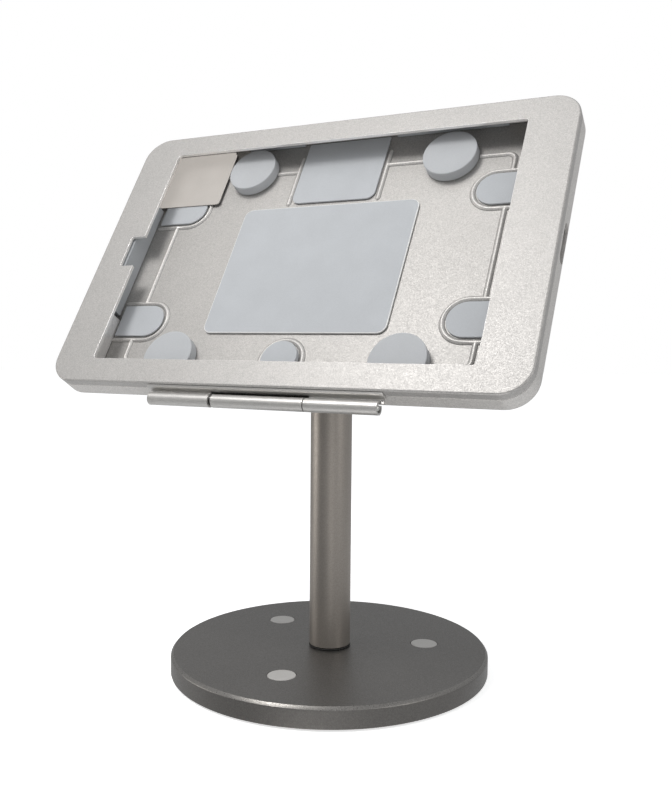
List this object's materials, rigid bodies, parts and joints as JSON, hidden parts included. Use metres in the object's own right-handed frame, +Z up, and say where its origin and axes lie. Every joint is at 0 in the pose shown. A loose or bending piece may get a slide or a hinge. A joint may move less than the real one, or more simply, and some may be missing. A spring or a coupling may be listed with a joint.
{
  "type": "tablet stand",
  "caption": "Countertop tablet stand: weighted round base, short pole, tilt joint and turning sheet-metal enclosure with a hinged lockable front bezel.",
  "frame": {"origin": "centre of the base underside, on the surface that the stand rests on", "axes": "+Z up along the pole, the screen side faces -Y, +X to the right as the user sees it"},
  "size_m": [0.2876, 0.192, 0.3323],
  "materials": {
    "silver_coat": "fine metallic silver powder coat on pressed sheet steel",
    "bronze_grey_coat": "fine-textured warm grey metallic powder coat on steel",
    "plated_steel": "bright zinc plating",
    "thick_foam": "matte closed-cell foam rubber, 6 mm",
    "thin_foam": "matte closed-cell foam rubber, 1 mm",
    "edge_foam": "matte closed-cell foam rubber strip",
    "cap_plastic": "light grey moulded plastic",
    "cover_plastic": "smooth warm grey sheet",
    "black_rubber": "black rubber",
    "white_nylon": "natural nylon"
  },
  "bodies": {
    "base": {"base_plate": "bronze_grey_coat", "base_rubber_pad": "black_rubber", "base_cap_front": "cap_plastic", "base_cap_left": "cap_plastic", "base_cap_right": "cap_plastic", "pole_foot_ring": "black_rubber", "pole_tube": "bronze_grey_coat", "pole_foot_plug": "plated_steel", "pole_bolt": "plated_steel", "pole_bolt_washer": "plated_steel", "pole_head": "bronze_grey_coat", "pole_set_screw": "plated_steel"},
    "tilt_head": {"tilt_bracket": "bronze_grey_coat", "tilt_bolt": "plated_steel", "tilt_nut": "plated_steel", "tilt_washer_left": "plated_steel", "tilt_washer_right": "plated_steel", "tilt_friction_washer_left": "white_nylon", "tilt_friction_washer_right": "white_nylon", "swivel_friction_disc": "white_nylon", "swivel_washer": "plated_steel", "swivel_nut": "plated_steel", "swivel_bolt": "plated_steel"},
    "enclosure": {"bottom_round_pad": "thin_foam", "camera_cover": "cover_plastic", "centre_pad": "thin_foam", "corner_stop_left": "silver_coat", "edge_strip_bottom_left": "edge_foam", "edge_strip_bottom_right": "edge_foam", "edge_strip_top_left": "edge_foam", "edge_strip_top_right": "edge_foam", "foam_disc_bottom_left": "thick_foam", "foam_disc_bottom_right": "thick_foam", "foam_disc_top_left": "thick_foam", "foam_disc_top_right": "thick_foam", "hinge_pin": "plated_steel", "lock_body": "plated_steel", "lock_nut": "plated_steel", "mount_plate": "bronze_grey_coat", "mount_screw_lower_left": "plated_steel", "mount_screw_lower_right": "plated_steel", "mount_screw_upper_left": "plated_steel", "mount_screw_upper_right": "plated_steel", "pocket_pad_left_lower": "thin_foam", "pocket_pad_left_upper": "thin_foam", "pocket_pad_right_lower": "thin_foam", "pocket_pad_right_upper": "thin_foam", "rear_tray": "silver_coat", "side_strip_left": "edge_foam", "side_strip_right_lower": "edge_foam", "side_strip_right_upper": "edge_foam", "top_pad": "thin_foam", "tray_hinge_leaf": "silver_coat"},
    "bezel": {"front_bezel": "silver_coat", "bezel_hinge_leaf": "silver_coat", "bezel_catch": "plated_steel"},
    "lock": {"lock_plug": "plated_steel", "lock_cam": "plated_steel", "lock_cam_nut": "plated_steel"}
  },
  "joints": [
    {"name": "tilt", "type": "hinge", "parent": "base", "child": "tilt_head", "pos_m": [0, 0, 0.22316], "axis": [1, 0, 0], "range_deg": [-57, 32]},
    {"name": "screen_rotate", "type": "hinge", "parent": "tilt_head", "child": "enclosure", "pos_m": [0, -0.02624, 0.23974], "axis": [0, -0.8453, 0.5344], "range_deg": [-90, 90]},
    {"name": "bezel_hinge", "type": "hinge", "parent": "enclosure", "child": "bezel", "pos_m": [0, -0.08619, 0.16643], "axis": [1, 0, 0], "range_deg": [0, 110]},
    {"name": "key_turn", "type": "hinge", "parent": "enclosure", "child": "lock", "pos_m": [0.134, 0.01224, 0.3006], "axis": [0, 0.8453, -0.5344], "range_deg": [0, 180]}
  ]
}
